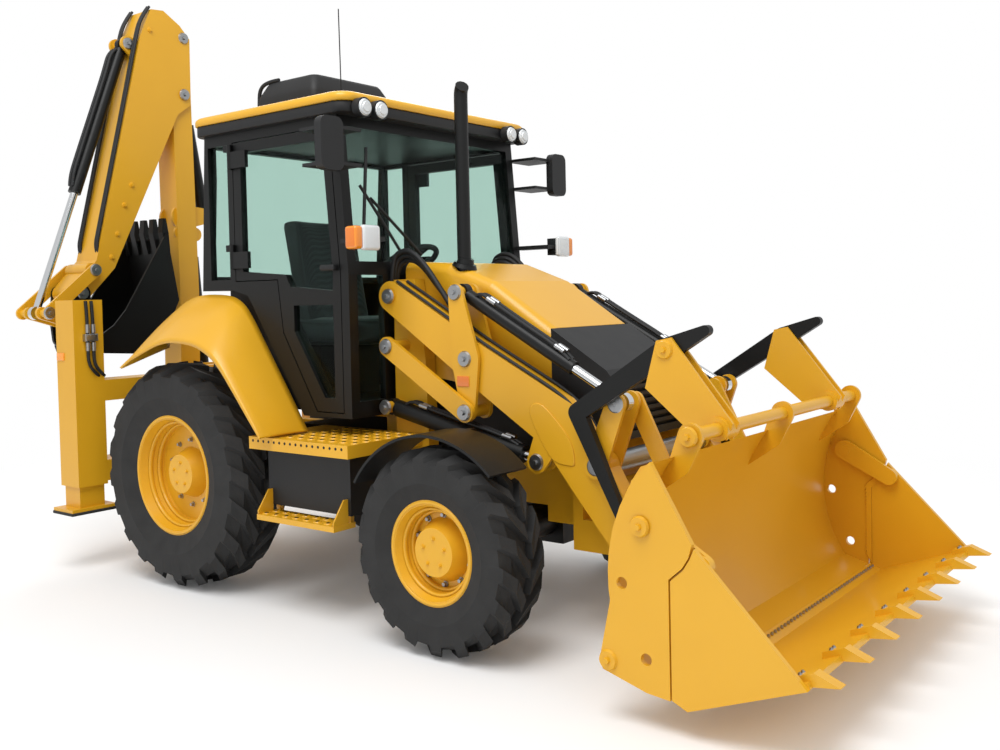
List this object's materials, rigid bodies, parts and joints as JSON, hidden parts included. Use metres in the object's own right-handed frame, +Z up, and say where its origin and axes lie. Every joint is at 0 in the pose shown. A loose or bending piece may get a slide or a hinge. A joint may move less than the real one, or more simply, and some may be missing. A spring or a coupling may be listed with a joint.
{
  "type": "backhoe loader",
  "caption": "Backhoe loader with a glazed cab, parallel-lift loader arms, a clam bucket with flip-over forks, and a side-shift rear hoe swung to the right for travel.",
  "frame": {"origin": "on the ground, under the middle of the whole machine", "axes": "+X forward to the loader bucket, +Y to the left, +Z up"},
  "size_m": [5.8535, 2.44, 3.965],
  "materials": {
    "yellow_paint": "satin machine yellow",
    "black_paint": "satin black",
    "bare_steel": "bare worn steel",
    "chromed_rod": "polished chrome",
    "window_glass": "clear, faint green tint",
    "tyre_rubber": "matt rubber",
    "black_plastic": "matt moulded",
    "cab_trim": "matt trim",
    "roof_plastic": "moulded roof shell",
    "cast_block": "painted casting"
  },
  "bodies": {
    "chassis": {"main_frame": "yellow_paint", "axles": "black_paint", "drivetrain": "cast_block", "hood": "yellow_paint", "front_grille": "black_plastic", "exhaust_stack": "black_paint", "cab_frame": "black_paint", "cab_glass": "window_glass", "cab_roof": "roof_plastic", "roof_unit": "black_plastic", "seat_and_console": "cab_trim", "rear_fenders": "yellow_paint", "side_tanks": "black_plastic", "platforms_and_steps": "yellow_paint", "rear_frame": "yellow_paint", "lamps_and_mirrors": "black_plastic"},
    "wheel_rear_left": {"tyre_rear_left": "tyre_rubber", "rim_rear_left": "yellow_paint"},
    "wheel_rear_right": {"tyre_rear_right": "tyre_rubber", "rim_rear_right": "yellow_paint"},
    "wheel_front_left": {"tyre_front_left": "tyre_rubber", "rim_front_left": "yellow_paint"},
    "wheel_front_right": {"tyre_front_right": "tyre_rubber", "rim_front_right": "yellow_paint"},
    "knuckle_left_body": {"knuckle_left": "black_paint"},
    "door_left_body": {"door_left": "black_paint", "door_glass_left": "window_glass"},
    "stabilizer_left_body": {"stabilizer_left": "yellow_paint"},
    "knuckle_right_body": {"knuckle_right": "black_paint"},
    "door_right_body": {"door_right": "black_paint", "door_glass_right": "window_glass"},
    "stabilizer_right_body": {"stabilizer_right": "yellow_paint"},
    "arms": {"loader_arms": "yellow_paint"},
    "links": {"loader_links": "black_paint"},
    "levers": {"loader_levers": "yellow_paint"},
    "lift_barrels": {"lift_cylinder_barrels": "black_paint"},
    "lift_rods": {"lift_cylinder_rods": "chromed_rod"},
    "hinge_pins": {"bucket_pins": "bare_steel"},
    "lever_pins": {"tilt_lever_pins": "bare_steel"},
    "tilt_barrels": {"tilt_cylinder_barrels": "black_paint"},
    "tilt_rods": {"tilt_cylinder_rods": "chromed_rod"},
    "front_levers": {"tilt_levers": "yellow_paint"},
    "bucket_links": {"tilt_links": "yellow_paint"},
    "bucket": {"bucket_back": "yellow_paint"},
    "jaw": {"bucket_jaw": "yellow_paint"},
    "carriers": {"fork_carriers": "yellow_paint"},
    "tines": {"fork_tines": "black_paint"},
    "carriage": {"side_shift_carriage": "yellow_paint"},
    "swing": {"swing_frame": "yellow_paint"},
    "boom_body": {"boom": "yellow_paint"},
    "boom_barrel": {"boom_cylinder_barrel": "black_paint"},
    "boom_rod": {"boom_cylinder_rod": "chromed_rod"},
    "stick_body": {"stick": "yellow_paint"},
    "stick_barrel": {"stick_cylinder_barrel": "black_paint"},
    "stick_rod": {"stick_cylinder_rod": "chromed_rod"},
    "dig": {"dig_bucket": "black_paint"},
    "dig_barrel": {"dig_cylinder_barrel": "black_paint"},
    "dig_rod": {"dig_cylinder_rod": "chromed_rod"},
    "guides": {"guide_links": "yellow_paint"},
    "power": {"power_link": "yellow_paint"}
  },
  "joints": [
    {"name": "spin_rear_left", "type": "hinge", "parent": "chassis", "child": "wheel_rear_left", "pos_m": [-1.282, 0.857, 0.7], "axis": [0, 1, 0], "continuous": true},
    {"name": "spin_rear_right", "type": "hinge", "parent": "chassis", "child": "wheel_rear_right", "pos_m": [-1.282, -0.857, 0.7], "axis": [0, 1, 0], "continuous": true},
    {"name": "steer_left", "type": "hinge", "parent": "chassis", "child": "knuckle_left_body", "pos_m": [0.89, 0.75, 0.517], "axis": [0, 0, 1], "range_deg": [-30, 30]},
    {"name": "steer_right", "type": "hinge", "parent": "chassis", "child": "knuckle_right_body", "pos_m": [0.89, -0.75, 0.517], "axis": [0, 0, 1], "range_deg": [-31, 31]},
    {"name": "spin_front_left", "type": "hinge", "parent": "knuckle_left_body", "child": "wheel_front_left", "pos_m": [0.89, 0.94, 0.517], "axis": [0, 1, 0], "continuous": true},
    {"name": "door_left_hinge", "type": "hinge", "parent": "chassis", "child": "door_left_body", "pos_m": [-0.898, 0.816, 1.9], "axis": [0, 0, 1], "range_deg": [0, 80]},
    {"name": "stabilizer_left_drop", "type": "slide", "parent": "chassis", "child": "stabilizer_left_body", "axis": [0, 0, -1], "range_m": [0, 0.52]},
    {"name": "spin_front_right", "type": "hinge", "parent": "knuckle_right_body", "child": "wheel_front_right", "pos_m": [0.89, -0.94, 0.517], "axis": [0, 1, 0], "continuous": true},
    {"name": "door_right_hinge", "type": "hinge", "parent": "chassis", "child": "door_right_body", "pos_m": [-0.898, -0.816, 1.9], "axis": [0, 0, -1], "range_deg": [0, 80]},
    {"name": "stabilizer_right_drop", "type": "slide", "parent": "chassis", "child": "stabilizer_right_body", "axis": [0, 0, -1], "range_m": [0, 0.52]},
    {"name": "loader_lift", "type": "hinge", "parent": "chassis", "child": "arms", "pos_m": [0.198, 0, 1.775], "axis": [0, -1, 0], "range_deg": [-3, 85]},
    {"name": "link_swing", "type": "hinge", "parent": "chassis", "child": "links", "pos_m": [0.213, 0, 1.496], "axis": [0, -1, 0], "range_deg": [-4, 86]},
    {"name": "lever_level", "type": "hinge", "parent": "arms", "child": "levers", "pos_m": [0.755, 0, 1.435], "axis": [0, -1, 0], "range_deg": [-86, 4]},
    {"name": "hinge_pin_level", "type": "hinge", "parent": "arms", "child": "hinge_pins", "pos_m": [1.838, 0, 0.395], "axis": [0, -1, 0], "range_deg": [-86, 4]},
    {"name": "lever_pin_level", "type": "hinge", "parent": "arms", "child": "lever_pins", "pos_m": [1.553, 0, 0.93], "axis": [0, -1, 0], "range_deg": [-86, 4]},
    {"name": "lift_barrel_swing", "type": "hinge", "parent": "chassis", "child": "lift_barrels", "pos_m": [0.158, 0, 1.15], "axis": [0, -1, 0], "range_deg": [-3.47, 71.09]},
    {"name": "lift_rod_slide", "type": "slide", "parent": "lift_barrels", "child": "lift_rods", "axis": [0.9762, 0, -0.2168], "range_m": [-0.037, 0.7758]},
    {"name": "tilt_barrel_swing", "type": "hinge", "parent": "levers", "child": "tilt_barrels", "pos_m": [0.696, 0, 1.787], "axis": [0, -1, 0], "range_deg": [-3.56, 73.57]},
    {"name": "bucket_tilt", "type": "hinge", "parent": "hinge_pins", "child": "bucket", "pos_m": [1.838, 0, 0.395], "axis": [0, -1, 0], "range_deg": [-60, 22]},
    {"name": "tilt_rod_slide", "type": "slide", "parent": "tilt_barrels", "child": "tilt_rods", "axis": [0.8726, 0, -0.4885], "range_m": [-0.1312, 0.3404]},
    {"name": "front_lever_swing", "type": "hinge", "parent": "lever_pins", "child": "front_levers", "pos_m": [1.553, 0, 0.93], "axis": [0, 1, 0], "range_deg": [-24.6, 65.36]},
    {"name": "bucket_link_swing", "type": "hinge", "parent": "bucket", "child": "bucket_links", "pos_m": [1.908, 0, 0.76], "axis": [0, 1, 0], "range_deg": [-69.67, 26.18]},
    {"name": "jaw_open", "type": "hinge", "parent": "bucket", "child": "jaw", "pos_m": [2.142, 0, 0.827], "axis": [0, 1, 0], "range_deg": [-80, 0]},
    {"name": "fork_flip", "type": "hinge", "parent": "bucket", "child": "carriers", "pos_m": [2.245, 0, 1.165], "axis": [0, 1, 0], "range_deg": [0, 147]},
    {"name": "tine_unfold", "type": "hinge", "parent": "carriers", "child": "tines", "pos_m": [1.984, 0, 1.505], "axis": [0, 1, 0], "range_deg": [0, 153]},
    {"name": "side_shift", "type": "slide", "parent": "chassis", "child": "carriage", "axis": [0, 1, 0], "range_m": [-0.65, 0.35]},
    {"name": "swing_turn", "type": "hinge", "parent": "carriage", "child": "swing", "pos_m": [-2.647, 0.15, 0.6], "axis": [0, 0, -1], "range_deg": [0, 180]},
    {"name": "boom_lift", "type": "hinge", "parent": "swing", "child": "boom_body", "pos_m": [-2.647, -0.09, 0.83], "axis": [1, 0, 0], "range_deg": [0, 100]},
    {"name": "boom_barrel_swing", "type": "hinge", "parent": "swing", "child": "boom_barrel", "pos_m": [-2.647, 0.21, 1.23], "axis": [1, 0, 0], "range_deg": [-1, 100.41]},
    {"name": "boom_rod_slide", "type": "slide", "parent": "boom_barrel", "child": "boom_rod", "axis": [0, -0.0792, 0.9969], "range_m": [-0.01, 0.7759]},
    {"name": "stick_crowd", "type": "hinge", "parent": "boom_body", "child": "stick_body", "pos_m": [-2.647, 0.02, 3.36], "axis": [-1, 0, 0], "range_deg": [0, 110]},
    {"name": "stick_barrel_swing", "type": "hinge", "parent": "boom_body", "child": "stick_barrel", "pos_m": [-2.647, 0.26, 2.45], "axis": [-1, 0, 0], "range_deg": [-1, 22.77]},
    {"name": "stick_rod_slide", "type": "slide", "parent": "stick_barrel", "child": "stick_rod", "axis": [0, -0.1692, 0.9856], "range_m": [-0.5991, 0.01]},
    {"name": "dig_curl", "type": "hinge", "parent": "stick_body", "child": "dig", "pos_m": [-2.647, -0.88, 1.85], "axis": [-1, 0, 0], "range_deg": [0, 130]},
    {"name": "guide_swing", "type": "hinge", "parent": "stick_body", "child": "guides", "pos_m": [-2.647, -0.79, 2.013], "axis": [-1, 0, 0], "range_deg": [-1, 62.78]},
    {"name": "power_swing", "type": "hinge", "parent": "dig", "child": "power", "pos_m": [-2.647, -0.89, 1.64], "axis": [-1, 0, 0], "range_deg": [-102.04, 1]},
    {"name": "dig_barrel_swing", "type": "hinge", "parent": "stick_body", "child": "dig_barrel", "pos_m": [-2.647, -0.41, 3.68], "axis": [-1, 0, 0], "range_deg": [-1, 8.86]},
    {"name": "dig_rod_slide", "type": "slide", "parent": "dig_barrel", "child": "dig_rod", "axis": [0, -0.3487, -0.9372], "range_m": [-0.4025, 0.01]}
  ],
  "couplings": [
    {"joint": "steer_right", "follows": "steer_left", "ratio": 1},
    {"joint": "link_swing", "follows": "loader_lift", "ratio": 1},
    {"joint": "lever_level", "follows": "loader_lift", "ratio": -1},
    {"joint": "hinge_pin_level", "follows": "loader_lift", "ratio": -1},
    {"joint": "lever_pin_level", "follows": "loader_lift", "ratio": -1},
    {"joint": "lift_barrel_swing", "follows": "loader_lift", "ratio": 0.8246},
    {"joint": "lift_rod_slide", "follows": "loader_lift", "m_per_rad": 0.51623},
    {"joint": "tilt_barrel_swing", "follows": "loader_lift", "ratio": 0.85376},
    {"joint": "tilt_rod_slide", "follows": "bucket_tilt", "m_per_rad": -0.31555},
    {"joint": "front_lever_swing", "follows": "bucket_tilt", "ratio": -1.0727},
    {"joint": "bucket_link_swing", "follows": "bucket_tilt", "ratio": 1.1446},
    {"joint": "boom_barrel_swing", "follows": "boom_lift", "ratio": 0.99412},
    {"joint": "boom_rod_slide", "follows": "boom_lift", "m_per_rad": 0.43883},
    {"joint": "stick_barrel_swing", "follows": "stick_crowd", "ratio": 0.19795},
    {"joint": "stick_rod_slide", "follows": "stick_crowd", "m_per_rad": -0.30686},
    {"joint": "guide_swing", "follows": "dig_curl", "ratio": 0.47526},
    {"joint": "power_swing", "follows": "dig_curl", "ratio": -0.77726},
    {"joint": "dig_barrel_swing", "follows": "dig_curl", "ratio": 0.06043},
    {"joint": "dig_rod_slide", "follows": "dig_curl", "m_per_rad": -0.17301}
  ]
}
